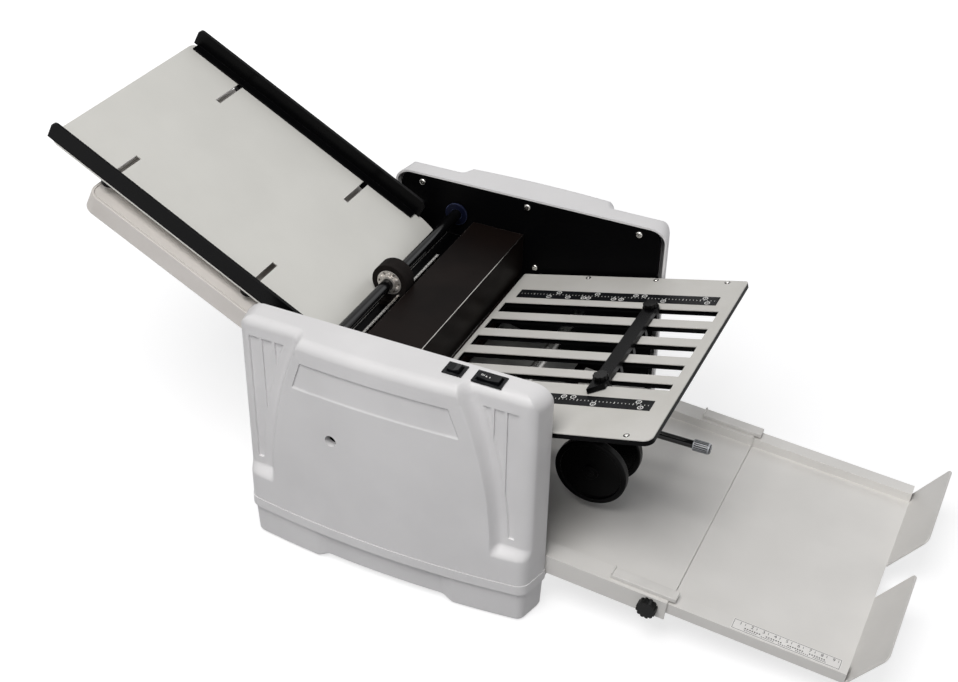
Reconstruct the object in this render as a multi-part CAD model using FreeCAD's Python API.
"""Desk paper folding machine: two fold tables, a feed deck and a telescoping delivery tray.

Lengths are in millimetres. While the pieces are built, x = 0 is the middle of the housing, y = 0 is
the middle plane between the side plates and z = 0 is the level of the arched plinth's datum, a little
above the desk. Paper travels along +X. The finished pieces are shifted so that the origin lies on the
desk under the middle of the whole machine.
"""
import FreeCAD, Part
import math
import os

VEC = FreeCAD.Vector
ORIGIN = VEC(0, 0, 0)
X_DIR = VEC(1, 0, 0)
Y_DIR = VEC(0, 1, 0)
Z_DIR = VEC(0, 0, 1)

# Clearances and cutting
OVERRUN = 5.0
SEAT_GAP = 0.3
RUN_GAP = 0.05
PRESS_GAP = 0.02
BODY_GAP = 0.6

# Main places of the mechanism, from which the housing and the tables take theirs
INNER_HALF_GAP = 132.0
ROLLER_B_X = -22.0
ROLLER_B_Z = 133.0
FEED_X = -73.0
FEED_RISE = 62.4
FEED_Z = ROLLER_B_Z + FEED_RISE
MOTOR_SETBACK = 73.0
MOTOR_X = ROLLER_B_X - MOTOR_SETBACK
MOTOR_RADIUS = 30.0

# Housing
MOTOR_END_ROOM = 11.0
FEED_HEADROOM = 35.1
HOUSING_HALF_LENGTH = MOTOR_RADIUS - MOTOR_X + MOTOR_END_ROOM
HOUSING_HEIGHT = FEED_Z + FEED_HEADROOM
COVER_MIDDLE_DEPTH = 39.0
COVER_END_DEPTH = 28.5
COVER_CORNER_RADIUS = 8.0
COVER_WALL = 2.0
COVER_END_RADIUS = 14.0
COVER_RIM_RADIUS = 9.0
SEAM_HEIGHT = 39.6
SEAM_GAP = 0.5
BAND_HEIGHT = 10.0
PLINTH_INSET = 1.5
PLINTH_EDGE_RADIUS = 3.0
PLINTH_FLOOR = 3.0
ARCH_LEFT_X = -68.0
ARCH_RIGHT_X = 56.0
ARCH_RISE = 5.0
ARCH_RECESS = 2.5
FOOT_THICKNESS = 1.5
FOOT_DROP = 4.5
FOOT_RADIUS = 10.0
FOOT_INSET = 30.0
FOOT_X = HOUSING_HALF_LENGTH - FOOT_INSET
BOSS_LENGTH = 24.0
BOSS_DEPTH = 14.0

# Ribbed recesses at both ends of each cover
RECESS_FLOOR_DEPTH = 22.0
RECESS_RIM_RADIUS = 7.0
RECESS_TOP_WIDTH = 60.0
RECESS_MID_WIDTH = 44.0
RECESS_MID_DROP = 84.5
RECESS_LOW_WIDTH = 31.0
RECESS_LOW_DROP = 158.5
RECESS_TOP_X = HOUSING_HALF_LENGTH - RECESS_TOP_WIDTH
RECESS_MID_X = HOUSING_HALF_LENGTH - RECESS_MID_WIDTH
RECESS_MID_Z = HOUSING_HEIGHT - RECESS_MID_DROP
RECESS_LOW_X = HOUSING_HALF_LENGTH - RECESS_LOW_WIDTH
RECESS_LOW_Z = HOUSING_HEIGHT - RECESS_LOW_DROP
GROOVE_WIDTH = 8.0
GROOVE_DEPTH = 1.2
GROOVE_FOOT_WIDTHS = (1.0, 1.5, 4.0)
GROOVE_TOP_DROP = 19.0
FIRST_GROOVE_INSET = 39.0
GROOVE_TOP_Z = HOUSING_HEIGHT - GROOVE_TOP_DROP
FIRST_GROOVE_X = HOUSING_HALF_LENGTH - FIRST_GROOVE_INSET
GROOVE_PITCH = 12.0
SHORT_GROOVE_LENGTH = 30.0
GROOVE_LOW_Z = GROOVE_TOP_Z - SHORT_GROOVE_LENGTH
GROOVE_STEP_Z = 45.0

# Bare badge field and service hole of the front cover
BADGE_DROP = 21.1
BADGE_TOP_Z = HOUSING_HEIGHT - BADGE_DROP
BADGE_HEIGHT = 26.8
BADGE_LEFT_X = -70.0
BADGE_RIGHT_X = 64.0
BADGE_FLARE = 9.0
BADGE_DEPTH = 1.1
SERVICE_HOLE_X = -43.0
SERVICE_HOLE_DROP = 91.5
SERVICE_HOLE_Z = HOUSING_HEIGHT - SERVICE_HOLE_DROP
SERVICE_HOLE_RADIUS = 5.5

# Side plates, base pan, tie rods and end panel
PLATE_THICKNESS = 2.5
PLATE_BOTTOM_Z = 17.0
PLATE_CORNER_RADIUS = COVER_END_RADIUS - COVER_WALL
PAN_THICKNESS = 2.0
PAN_UNDER_Z = 14.0
PAN_FLANGE_HEIGHT = 16.0
PAN_END_GAP = 2.0
TRAY_POST_THICKNESS = 3.0
TRAY_POST_HALF_WIDTH = 90.0
TIE_RADIUS = 5.0
REAR_TIE_INSET = 18.0
REAR_TIE_DROP = 13.0
REAR_TIE_X = REAR_TIE_INSET - HOUSING_HALF_LENGTH
REAR_TIE_Z = ROLLER_B_Z - REAR_TIE_DROP
TABLE_TIE_X = 62.0
LOW_TIE_X = 56.0
LOW_TIE_Z = 40.0
END_PANEL_THICKNESS = 1.5
END_PANEL_RISE = 33.0
END_PANEL_INSET = 5.0
END_PANEL_TOP_Z = ROLLER_B_Z + END_PANEL_RISE
END_PANEL_X = END_PANEL_INSET - HOUSING_HALF_LENGTH

# Pan-head screws that hold each side plate
SCREW_RADIUS = 1.9
SCREW_HOLE_RADIUS = 2.0
SCREW_HEAD_RADIUS = 3.3
SCREW_HEAD_HEIGHT = 2.2
SCREW_LENGTH = 7.0
TOP_SCREW_DROP = 9.0
LEFT_SCREW_INSET = 26.0
MIDDLE_SCREW_X = 1.0
RIGHT_SCREW_INSET = 23.0
MID_SCREW_X = 11.0
MID_SCREW_RISE = 24.3
LOW_SCREW_INSET = 12.0
LOW_SCREW_DROP = 16.0
TOP_SCREW_Z = HOUSING_HEIGHT - TOP_SCREW_DROP
TOP_SCREW_XS = (LEFT_SCREW_INSET - HOUSING_HALF_LENGTH, MIDDLE_SCREW_X,
                HOUSING_HALF_LENGTH - RIGHT_SCREW_INSET)
MID_SCREW_Z = ROLLER_B_Z + MID_SCREW_RISE
LOW_SCREW_X = HOUSING_HALF_LENGTH - LOW_SCREW_INSET
LOW_SCREW_Z = ROLLER_B_Z - LOW_SCREW_DROP

# Fold rollers, numbered from the top of the stack
ROLLER_RADIUS = 14.0
NIP_GAP = 0.3
ROLLER_END_GAP = 6.0
JOURNAL_RADIUS = 6.0
ROLLER_A_ANGLE = 99.4
ROLLER_C_ANGLE = 242.9
ROLLER_D_ANGLE = 260.2
BEARING_RADIUS = 10.0
BEARING_FLANGE_RADIUS = 11.6
BEARING_FLANGE = 1.0
BEARING_LENGTH = 3.0

# Gears on the rear ends of the fold rollers
GEAR_TEETH = 18
GEAR_OFFSET = 5.5
GEAR_WIDTH = 7.0
ADDENDUM_SHARE = 0.75
DEDENDUM_SHARE = 1.1
TOOTH_ROOT_SHARE = 0.66
TOOTH_PITCH_SHARE = 0.46
TOOTH_TIP_SHARE = 0.2

# Feed shaft with its roller
FEED_SHAFT_RADIUS = 5.5
FEED_TYRE_RADIUS = 17.5
FEED_HUB_RADIUS = 12.0
FEED_ROLLER_WIDTH = 16.0
FEED_ROLLER_FRONT_Y = -8.0
HUB_BOSS_RADIUS = 9.2
HUB_BOSS_LENGTH = 3.0
HUB_POCKETS = 6
HUB_POCKET_RADIUS = 1.4
HUB_POCKET_RING = 9.6
HUB_POCKET_DEPTH = 5.0
BUSH_RADIUS = 8.5
BUSH_FLANGE_RADIUS = 11.5
BUSH_FLANGE = 2.2

# Belt drives in the front cover
PULLEY_OFFSET = 4.0
PULLEY_WIDTH = 9.0
PULLEY_FLANGE = 1.2
PULLEY_FLANGE_RISE = 3.0
BELT_THICKNESS = 1.8
BELT_GAP = 0.3
FEED_PULLEY_RADIUS = 12.0
ROLLER_A_PULLEY_RADIUS = 10.0
ROLLER_D_PULLEY_RADIUS = 21.0
MOTOR_PULLEY_RADIUS = 7.0
MOTOR_Z = 60.0
MOTOR_LENGTH = 88.0
MOTOR_BELL_RADIUS = 26.0
MOTOR_BELL_LENGTH = 10.0
MOTOR_SHAFT_RADIUS = 4.0
MOTOR_BORE_DEPTH = 12.0
MOTOR_PLATE_HOLE = 12.0
MOTOR_BOSS_RADIUS = 11.0

# Separator under the feed roller
SEPARATOR_LEFT_REACH = 11.0
SEPARATOR_RIGHT_REACH = 14.0
SEPARATOR_DROP = 23.4
SEPARATOR_LEFT_X = FEED_X - SEPARATOR_LEFT_REACH
SEPARATOR_RIGHT_X = FEED_X + SEPARATOR_RIGHT_REACH
SEPARATOR_TOP_Z = FEED_Z - SEPARATOR_DROP
SEPARATOR_THICKNESS = 1.5
SEPARATOR_LIP_RISE = 8.0
SEPARATOR_SKIRT = 6.0
NOTCH_MARGIN = 3.0
PAD_HALF_WIDTH = 12.0
PAD_LENGTH = 18.0

# Cover over the fold rollers
TOP_COVER_SETBACK = 18.0
TOP_COVER_LENGTH = 53.0
TOP_COVER_DROP = 4.8
TOP_COVER_FACE_HEIGHT = 44.6
TOP_COVER_LEFT_X = FEED_X + TOP_COVER_SETBACK
TOP_COVER_RIGHT_X = TOP_COVER_LEFT_X + TOP_COVER_LENGTH
TOP_COVER_Z = FEED_Z - TOP_COVER_DROP
TOP_COVER_FACE_LOW_Z = TOP_COVER_Z - TOP_COVER_FACE_HEIGHT
TOP_COVER_THICKNESS = 1.5
TOP_COVER_LIP = 7.0

# Feed deck, its guides and brackets
DECK_TILT = 28.2
DECK_SETBACK = 31.0
DECK_DROP = 0.9
DECK_LENGTH = 279.0
DECK_SIDE_GAP = 19.0
DECK_LOW_X = FEED_X - DECK_SETBACK
DECK_LOW_Z = FEED_Z - DECK_DROP
DECK_HALF_WIDTH = INNER_HALF_GAP - DECK_SIDE_GAP
DECK_THICKNESS = 1.6
DECK_LIP_START = 9.0
DECK_LIP_RADIUS = 112.0
DECK_LIP_SWEEP = 17.2
DECK_CORNER_RADIUS = 12.0
GUIDE_HEIGHT = 18.0
GUIDE_THICKNESS = 3.0
GUIDE_FOOT = 9.0
GUIDE_FOOT_THICKNESS = 1.5
FOOT_DROP = 4.5
GUIDE_END_RADIUS = 5.0
GUIDE_TRAVEL = 40.0
GUIDE_SLOT_WIDTH = 5.0
GUIDE_STUD_RADIUS = 2.2
GUIDE_STUD_UPPER = 215.0
GUIDE_STUD_LOWER = 60.0
GUIDE_NUT_RADIUS = 6.0
GUIDE_NUT_HEIGHT = 5.0
BRACKET_THICKNESS = 2.0
BRACKET_LEG = 9.0
DECK_BRACKET_LENGTH = 24.0
DECK_BRACKET_START = 6.0
DECK_BRACKET_REACH = 26.0

# Lower fold table under the feed deck
LOWER_TILT = 27.1
LOWER_TABLE_SETBACK = 78.0
LOWER_TABLE_RISE = 24.1
LOWER_TABLE_LENGTH = 245.0
LOWER_TABLE_SIDE_GAP = 12.0
LOWER_TABLE_X = ROLLER_B_X - LOWER_TABLE_SETBACK
LOWER_TABLE_Z = ROLLER_B_Z + LOWER_TABLE_RISE
LOWER_TABLE_HALF_WIDTH = INNER_HALF_GAP - LOWER_TABLE_SIDE_GAP
LOWER_TABLE_HEIGHT = 19.0
LOWER_TABLE_WALL = 2.5
LOWER_TABLE_FLOOR = 2.0
LOWER_TABLE_CORNER = 12.0
LOWER_LID_THICKNESS = 2.0
LOWER_CHANNEL = 4.5
LOWER_SHEET = 1.2
LOWER_STOP_PLACE = 160.0
LOWER_STOP_WIDTH = 8.0
LOWER_STOP_SIDE_GAP = 3.0
LOWER_STOP_UP = 30.0
LOWER_STOP_DOWN = 120.0
LOWER_SLOT_WIDTH = 6.0
LOWER_SLOT_Y = 60.0
LOWER_STUD_RADIUS = 2.4
LOWER_KNOB_RADIUS = 7.0
LOWER_KNOB_HEIGHT = 8.0
LOWER_BRACKET_LENGTH = 26.0
LOWER_BRACKET_REACH = 18.0

# Upper fold table on the right
UPPER_TILT = 13.93
UPPER_TABLE_REACH = 24.3
UPPER_TABLE_RISE = 16.7
UPPER_TABLE_LENGTH = 224.0
UPPER_TABLE_SIDE_GAP = 4.0
UPPER_TABLE_X = ROLLER_B_X + UPPER_TABLE_REACH
UPPER_TABLE_Z = ROLLER_B_Z + UPPER_TABLE_RISE
UPPER_TABLE_HALF_WIDTH = INNER_HALF_GAP - UPPER_TABLE_SIDE_GAP
UPPER_SHEET = 1.2
UPPER_CHANNEL = 3.2
UPPER_RIM = 5.0
UPPER_FRONT_CORNER = 7.5
UPPER_REAR_CORNER = 2.5
SLOT_START = 4.5
SLOT_END_MARGIN = 10.0
SLOT_END = UPPER_TABLE_LENGTH - SLOT_END_MARGIN
SLOT_WIDTH = 18.0
SLOT_PITCH = 30.0
REAR_SLOT_Y = 64.0
FULL_SLOTS = 4
NARROW_SLOT_WIDTH = 10.0
NARROW_SLOT_Y = -51.5
SCALE_START = 11.5
SCALE_END_MARGIN = 16.0
SCALE_END = UPPER_TABLE_LENGTH - SCALE_END_MARGIN
SCALE_WIDTH = 14.5
SCALE_THICKNESS = 0.4
REAR_SCALE_INSET = 38.5
FRONT_SCALE_INSET = 47.5
REAR_SCALE_Y = UPPER_TABLE_HALF_WIDTH - REAR_SCALE_INSET
FRONT_SCALE_Y = FRONT_SCALE_INSET - UPPER_TABLE_HALF_WIDTH
LEDGE_START = 12.0
LEDGE_LENGTH = 105.0
LEDGE_REACH = 12.0
UPPER_STOP_SETBACK = 70.0
UPPER_STOP_PLACE = UPPER_TABLE_LENGTH - UPPER_STOP_SETBACK
UPPER_STOP_WIDTH = 12.5
UPPER_STOP_HEIGHT = 5.0
UPPER_STOP_LIFT = 0.9
UPPER_STOP_FRONT_Y = -72.0
UPPER_STOP_REAR_Y = 70.0
UPPER_STOP_FINGER = 5.0
UPPER_STOP_POINT = 10.0
STOP_BOSS_RADIUS = 7.5
FRONT_KNOB_INSET = 18.0
REAR_KNOB_INSET = 4.0
STOP_KNOB_YS = (UPPER_STOP_FRONT_Y + FRONT_KNOB_INSET, UPPER_STOP_REAR_Y - REAR_KNOB_INSET)
STOP_KNOB_RADIUS = 6.5
STOP_KNOB_HEIGHT = 3.5
STOP_KNOB_STEM = 2.0
STOP_KNOB_STEM_DEPTH = 4.0
STOP_KNOB_FLUTES = 10
STOP_KNOB_FLUTE_RADIUS = 0.9

# Folded-sheet chutes between feed, rollers and tables: the ends of each sheet from the second roller
CHUTE_THICKNESS = 1.2
ENTRY_CHUTE = (-35.0, 33.0, -17.5, 12.0)
UPPER_LOWER_CHUTE = (-73.5, 31.0, -21.0, 3.5)
UNDER_LOWER_CHUTE = (-75.0, 26.5, -28.5, -5.0)
EXIT_CHUTE = (2.0, -47.0, 86.0, -69.0)

# Stacker wheels on their adjusting rod
STACKER_ROD_RADIUS = 3.5
STACKER_ROD_Y = -35.5
STACKER_ROD_DROP = 12.2
STACKER_ROD_Z = UPPER_TABLE_Z - STACKER_ROD_DROP
STACKER_ROD_LEFT_X = 36.0
STACKER_ROD_RIGHT_X = 230.0
STACKER_TIP_RADIUS = 4.6
STACKER_TIP_LENGTH = 15.0
STACKER_TIP_ROUND = 1.5
GUIDE_BLOCK_LEFT_X = 45.0
GUIDE_BLOCK_LENGTH = 38.0
GUIDE_BLOCK_WIDTH = 20.0
GUIDE_BLOCK_RISE = 7.0
GUIDE_BLOCK_DROP = 19.0
TABLE_TIE_DROP = 11.0
TABLE_TIE_Z = STACKER_ROD_Z - TABLE_TIE_DROP
WHEEL_X = 148.0
WHEEL_FLOAT = 39.44
WHEEL_RADIUS = 33.0
WHEEL_WIDTH = 8.0
WHEEL_FACE_DISH = 2.0
WHEEL_RIM_WIDTH = 5.0
WHEEL_HUB_RADIUS = 7.0
WHEEL_SPREAD = 17.5
WHEEL_EDGE_RADIUS = 1.5
AXLE_RADIUS = 3.0
CARRIAGE_LENGTH = 20.0
CARRIAGE_WIDTH = 18.0
CARRIAGE_WALL = 3.5
CARRIAGE_ARM_LENGTH = 11.0
CARRIAGE_ARM_WIDTH = 9.0

# Delivery tray and its extension
TRAY_TILT = 4.3
TRAY_START_X = 70.975
TRAY_START_Z = 58.35
TRAY_LENGTH = 178.0
TRAY_SIDE_GAP = 1.5
TRAY_POST_SETBACK = 21.025
TRAY_POST_X = TRAY_START_X + TRAY_POST_SETBACK
TRAY_END_X = TRAY_START_X + TRAY_LENGTH * math.cos(math.radians(TRAY_TILT))
TRAY_END_Z = TRAY_START_Z - TRAY_LENGTH * math.sin(math.radians(TRAY_TILT))
TRAY_HALF_WIDTH = INNER_HALF_GAP - TRAY_SIDE_GAP
WHEEL_Z = TRAY_START_Z - (WHEEL_X - TRAY_START_X) * math.tan(math.radians(TRAY_TILT)) + WHEEL_FLOAT
TRAY_SHEET = 1.5
TRAY_RAIL_WIDTH = 18.0
TRAY_FLOOR_DROP = 9.0
TRAY_WALL_HEIGHT = 19.0
EXTENSION_SIDE_GAP = 0.8
EXTENSION_DROP = 0.5
EXTENSION_SHEET = 1.5
EXTENSION_FLOOR_GAP = 0.8
EXTENSION_LENGTH = 151.0
EXTENSION_TONGUE = 60.0
EXTENSION_TRAVEL = 90.0
WING_LEAN = 55.0
WING_LENGTH = 49.0
WING_HALF_GAP = 22.0
WING_CORNER = 6.0
CLIP_START = 52.0
CLIP_LENGTH = 58.0
CLIP_WIDTH = 11.0
CLIP_HEIGHT = 4.0
CLIP_HOOK = 6.0
TRAY_KNOB_BACK = 15.0
TRAY_KNOB_DROP = 9.5
TRAY_KNOB_RADIUS = 8.5
TRAY_KNOB_LENGTH = 7.0
TRAY_KNOB_STEM = 2.0
TRAY_KNOB_FLUTES = 12
TRAY_KNOB_FLUTE_RADIUS = 1.0

# Rocker switches in the top of the front cover
SWITCH_SETBACK = 13.2
JOG_SWITCH_INSET = 45.5
SWITCH_PITCH = 30.0
SWITCH_Y = -INNER_HALF_GAP - SWITCH_SETBACK
POWER_SWITCH_LENGTH = 14.6
JOG_SWITCH_X = HOUSING_HALF_LENGTH - JOG_SWITCH_INSET
POWER_SWITCH_X = JOG_SWITCH_X - SWITCH_PITCH
JOG_SWITCH_LENGTH = 23.6
SWITCH_WIDTH = 13.0
SWITCH_WALL = 1.2
SWITCH_BEZEL = 1.2
SWITCH_BEZEL_HEIGHT = 1.2
SWITCH_DEPTH = 20.0
SWITCH_CAVITY_DEPTH = 12.0
ROCKER_GAP = 1.1
ROCKER_CENTRE_RISE = 1.2
ROCKER_END_RISE = 2.6
ROCKER_DEPTH = 6.0
ROCKER_PIVOT_DROP = 3.0
ROCKER_PIN_RADIUS = 1.0
ROCKER_PIN_REACH = 0.8
POWER_REST_ANGLE = 6.0

# Mains inlet and control board
INLET_X = 0.0
INLET_Z = 78.0
INLET_LENGTH = 28.0
INLET_HEIGHT = 20.0
INLET_DEPTH = 20.0
INLET_WALL = 2.0
INLET_FLANGE = 4.0
INLET_FLANGE_THICKNESS = 1.5
INLET_SOCKET_DEPTH = 14.0
BOARD_X = 48.0
BOARD_Z = 95.0
BOARD_LENGTH = 90.0
BOARD_HEIGHT = 60.0
BOARD_THICKNESS = 1.6
BOARD_STANDOFF = 3.0
BOARD_STANDOFF_RADIUS = 2.5
BOARD_STANDOFF_INSET = 6.0
CAPACITOR_RADIUS = 5.0
CAPACITOR_HEIGHT = 10.0
RELAY_LENGTH = 18.0
RELAY_HEIGHT = 14.0
RELAY_DEPTH = 9.0

COVER_OUT_Y = INNER_HALF_GAP + COVER_MIDDLE_DEPTH
RECESS_FLOOR_Y = INNER_HALF_GAP + RECESS_FLOOR_DEPTH
PLATE_OUT_Y = INNER_HALF_GAP + PLATE_THICKNESS
CROSS_HALF_WIDTH = INNER_HALF_GAP - SEAT_GAP


def box(x0, x1, y0, y1, z0, z1):
    """Block between two opposite corners."""
    return Part.makeBox(x1 - x0, y1 - y0, z1 - z0, VEC(x0, y0, z0))


def rod_x(radius, y, z, x0, x1):
    """Cylinder along X."""
    return Part.makeCylinder(radius, x1 - x0, VEC(x0, y, z), X_DIR)


def rod_y(radius, x, z, y0, y1):
    """Cylinder along Y."""
    return Part.makeCylinder(radius, y1 - y0, VEC(x, y0, z), Y_DIR)


def rod_z(radius, x, y, z0, z1):
    """Cylinder along Z."""
    return Part.makeCylinder(radius, z1 - z0, VEC(x, y, z0), Z_DIR)


def prism_y(points, y0, y1):
    """Polygon of x and z points, extruded along Y."""
    corners = [VEC(x, y0, z) for x, z in points]
    wire = Part.makePolygon(corners + corners[:1])
    return Part.Face(wire).extrude(VEC(0, y1 - y0, 0))


def prism_z(points, z0, z1):
    """Polygon of x and y points, extruded along Z."""
    corners = [VEC(x, y, z0) for x, y in points]
    wire = Part.makePolygon(corners + corners[:1])
    return Part.Face(wire).extrude(VEC(0, 0, z1 - z0))


def mirrored(shape):
    """The same shape on the other side of the middle plane."""
    return shape.mirror(ORIGIN, Y_DIR)


def group(shapes):
    """Separate solids that share one node."""
    return Part.makeCompound(shapes)


def both_sides(shape):
    """A shape and its mirror image as two solids."""
    return group([shape, mirrored(shape)])


def fuse(first, *others):
    """One solid out of several that touch or overlap."""
    return first.multiFuse(list(others)).removeSplitter()


def round_edges(shape, radius, chosen):
    """Round the edges whose middle point passes the given test."""
    edges = []
    for edge in shape.Edges:
        middle = edge.valueAt((edge.FirstParameter + edge.LastParameter) / 2)
        if chosen(middle):
            edges.append(edge)
    return shape.makeFillet(radius, edges)


def near(value, target):
    """Whether two coordinates are the same place."""
    return abs(value - target) < RUN_GAP


def sloped(shape, x, z, fall):
    """Put a shape built flat at the origin onto a plane that falls towards +X by an angle."""
    placed = shape.copy()
    placed.rotate(ORIGIN, Y_DIR, fall)
    placed.translate(VEC(x, 0, z))
    return placed


def slope_point(x, z, fall, along, up):
    """World x and z of a point given along and above a falling plane."""
    angle = math.radians(fall)
    return (x + along * math.cos(angle) + up * math.sin(angle),
            z - along * math.sin(angle) + up * math.cos(angle))


def rounded_plate(x0, x1, half_width, z0, z1, radius, right_end):
    """Flat plate along X with two rounded corners at one end."""
    plate = box(x0, x1, -half_width, half_width, z0, z1)
    end = x1 if right_end else x0
    return round_edges(plate, radius, lambda p: near(p.x, end) and near(abs(p.y), half_width))


def sheet_between(ends, thickness, half_width):
    """Flat sheet under the line from one x, z point to another."""
    x0, z0, x1, z1 = ends
    length = math.hypot(x1 - x0, z1 - z0)
    flat = box(0, length, -half_width, half_width, -thickness, 0)
    return sloped(flat, x0, z0, math.degrees(math.atan2(z0 - z1, x1 - x0)))


def roller_centres():
    """The x, z centres of the four fold rollers, from the top down."""
    pitch = 2 * ROLLER_RADIUS + NIP_GAP

    def step(start, degrees):
        angle = math.radians(degrees)
        return (start[0] + pitch * math.cos(angle), start[1] + pitch * math.sin(angle))

    centre_b = (ROLLER_B_X, ROLLER_B_Z)
    centre_a = step(centre_b, ROLLER_A_ANGLE)
    centre_c = step(centre_b, ROLLER_C_ANGLE)
    centre_d = step(centre_c, ROLLER_D_ANGLE)
    return {"a": centre_a, "b": centre_b, "c": centre_c, "d": centre_d}


ROLLERS = roller_centres()


def bow_radius():
    """Radius of the bowed outer face of both covers, seen from above."""
    rise = COVER_MIDDLE_DEPTH - COVER_END_DEPTH
    return (HOUSING_HALF_LENGTH ** 2 + rise ** 2) / (2 * rise)


def bow_band(inset, y0, z0, z1, rim_radius):
    """Ring sector under the bowed face, its outer top edge rounded."""
    radius = bow_radius() - inset
    centre = COVER_OUT_Y - bow_radius()
    inner = y0 - OVERRUN - centre - COVER_MIDDLE_DEPTH
    shoulder = z1 - rim_radius
    corner = radius - rim_radius
    bend = math.sin(math.pi / 4) * rim_radius
    points = [VEC(0, centre + inner, z0), VEC(0, centre + radius, z0), VEC(0, centre + radius, shoulder)]
    edges = [Part.makeLine(points[0], points[1]), Part.makeLine(points[1], points[2])]
    last = points[2]
    if rim_radius:
        last = VEC(0, centre + corner, z1)
        edges.append(Part.Arc(points[2], VEC(0, centre + corner + bend, shoulder + bend), last).toShape())
    inner_top = VEC(0, centre + inner, z1)
    edges += [Part.makeLine(last, inner_top), Part.makeLine(inner_top, points[0])]
    half_angle = math.degrees(math.asin(HOUSING_HALF_LENGTH / bow_radius())) * 2
    face = Part.Face(Part.Wire(edges))
    face.rotate(VEC(0, centre, 0), Z_DIR, -half_angle)
    return face.revolve(VEC(0, centre, 0), Z_DIR, 2 * half_angle)


def bow_plan(inset, y0, z0, z1):
    """Upright prism whose corners round off the ends of the bowed face."""
    half = HOUSING_HALF_LENGTH - inset
    corner = COVER_CORNER_RADIUS - inset
    centre_y = COVER_OUT_Y - bow_radius()
    radius = bow_radius() - inset
    reach = math.sqrt((radius - corner) ** 2 - (half - corner) ** 2)
    lean = math.atan2(half - corner, reach)
    sides = []
    for side in (-1, 1):
        middle = VEC(side * (half - corner), centre_y + reach, z0)
        start = VEC(side * half, centre_y + reach, z0)
        turn = (lean + math.pi / 2) / 2
        bend = middle + VEC(side * corner * math.sin(turn), corner * math.cos(turn), 0)
        touch = middle + VEC(side * corner * math.sin(lean), corner * math.cos(lean), 0)
        far = touch + VEC(side * OVERRUN * math.sin(lean), 2 * OVERRUN * math.cos(lean), 0)
        sides.append((start, bend, touch, far))
    left, right = sides
    foot_left = VEC(-half, y0, z0)
    foot_right = VEC(half, y0, z0)
    edges = [Part.makeLine(foot_left, foot_right), Part.makeLine(foot_right, right[0]),
             Part.Arc(right[0], right[1], right[2]).toShape(), Part.makeLine(right[2], right[3]),
             Part.makeLine(right[3], left[3]), Part.makeLine(left[3], left[2]),
             Part.Arc(left[2], left[1], left[0]).toShape(), Part.makeLine(left[0], foot_left)]
    return Part.Face(Part.Wire(edges)).extrude(VEC(0, 0, z1 - z0))


def bowed_block(inset, y0, z0, z1, end_radius, rim_radius):
    """Block with a bowed outer face, shrunk by an inset, with rounded top ends and rim."""
    half = HOUSING_HALF_LENGTH - inset
    block = bow_plan(inset, y0, z0, z1).common(bow_band(inset, y0, z0, z1, rim_radius))
    if end_radius:
        front = box(-half, half, y0 - OVERRUN, COVER_OUT_Y + OVERRUN, z0, z1)
        front = round_edges(front, end_radius, lambda p: near(p.z, z1) and near(abs(p.x), half))
        block = block.common(front)
    return block


def side_recess(inset):
    """Tool for the sunk field at the right end of a cover, open at its top, grown by a wall thickness."""
    floor_y = RECESS_FLOOR_Y - inset
    floor_top = HOUSING_HEIGHT - inset
    y0 = floor_y - RECESS_RIM_RADIUS
    low = RECESS_LOW_Z - inset
    top = HOUSING_HEIGHT + OVERRUN
    end = HOUSING_HALF_LENGTH + OVERRUN
    start = VEC(RECESS_TOP_X - inset, y0, top)
    middle = VEC(RECESS_MID_X - inset, y0, RECESS_MID_Z)
    finish = VEC(RECESS_LOW_X - inset, y0, low)
    edges = [Part.Arc(start, middle, finish).toShape(),
             Part.makeLine(finish, VEC(end, y0, low)),
             Part.makeLine(VEC(end, y0, low), VEC(end, y0, top)),
             Part.makeLine(VEC(end, y0, top), start)]
    field = Part.Face(Part.Wire(edges)).extrude(VEC(0, COVER_MIDDLE_DEPTH, 0))
    backing = box(0, end + OVERRUN, y0 - OVERRUN, floor_y, low - OVERRUN, floor_top)
    backing = round_edges(backing, RECESS_RIM_RADIUS - inset, lambda p: near(p.y, floor_y) and near(p.z, floor_top))
    return field.cut(backing)


def recess_grooves():
    """Flutes in one recess, deep along the outer edge, narrowing to the foot, each longer than the last."""
    grooves = []
    for index, foot in enumerate(GROOVE_FOOT_WIDTHS):
        x1 = FIRST_GROOVE_X + index * GROOVE_PITCH + GROOVE_WIDTH / 2
        x0 = x1 - GROOVE_WIDTH
        low = GROOVE_LOW_Z - index * GROOVE_STEP_Z
        wedge = prism_z([(x0, RECESS_FLOOR_Y), (x1, RECESS_FLOOR_Y - GROOVE_DEPTH), (x1, RECESS_FLOOR_Y + OVERRUN),
                         (x0, RECESS_FLOOR_Y + OVERRUN)], low, GROOVE_TOP_Z)
        outline = prism_y([(x1 - foot, low), (x1, low), (x1, GROOVE_TOP_Z), (x0, GROOVE_TOP_Z)],
                          RECESS_FLOOR_Y - 2 * GROOVE_DEPTH, RECESS_FLOOR_Y + 2 * OVERRUN)
        grooves.append(wedge.common(outline))
    return grooves


def cover_shell():
    """Moulded cover for the rear side, open towards the side plate and at its foot."""
    outer = bowed_block(0, INNER_HALF_GAP, SEAM_HEIGHT + SEAM_GAP, HOUSING_HEIGHT, COVER_END_RADIUS,
                        COVER_RIM_RADIUS)
    cavity = bowed_block(COVER_WALL, INNER_HALF_GAP - OVERRUN, SEAM_HEIGHT - OVERRUN,
                         HOUSING_HEIGHT - COVER_WALL, COVER_END_RADIUS - COVER_WALL,
                         COVER_RIM_RADIUS - COVER_WALL)
    kept = side_recess(COVER_WALL)
    cavity = cavity.cut(kept).cut(kept.mirror(ORIGIN, X_DIR))
    shell = outer.cut(cavity)
    for tool in [side_recess(0)] + recess_grooves():
        shell = shell.cut(tool).cut(tool.mirror(ORIGIN, X_DIR))
    return shell


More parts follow.
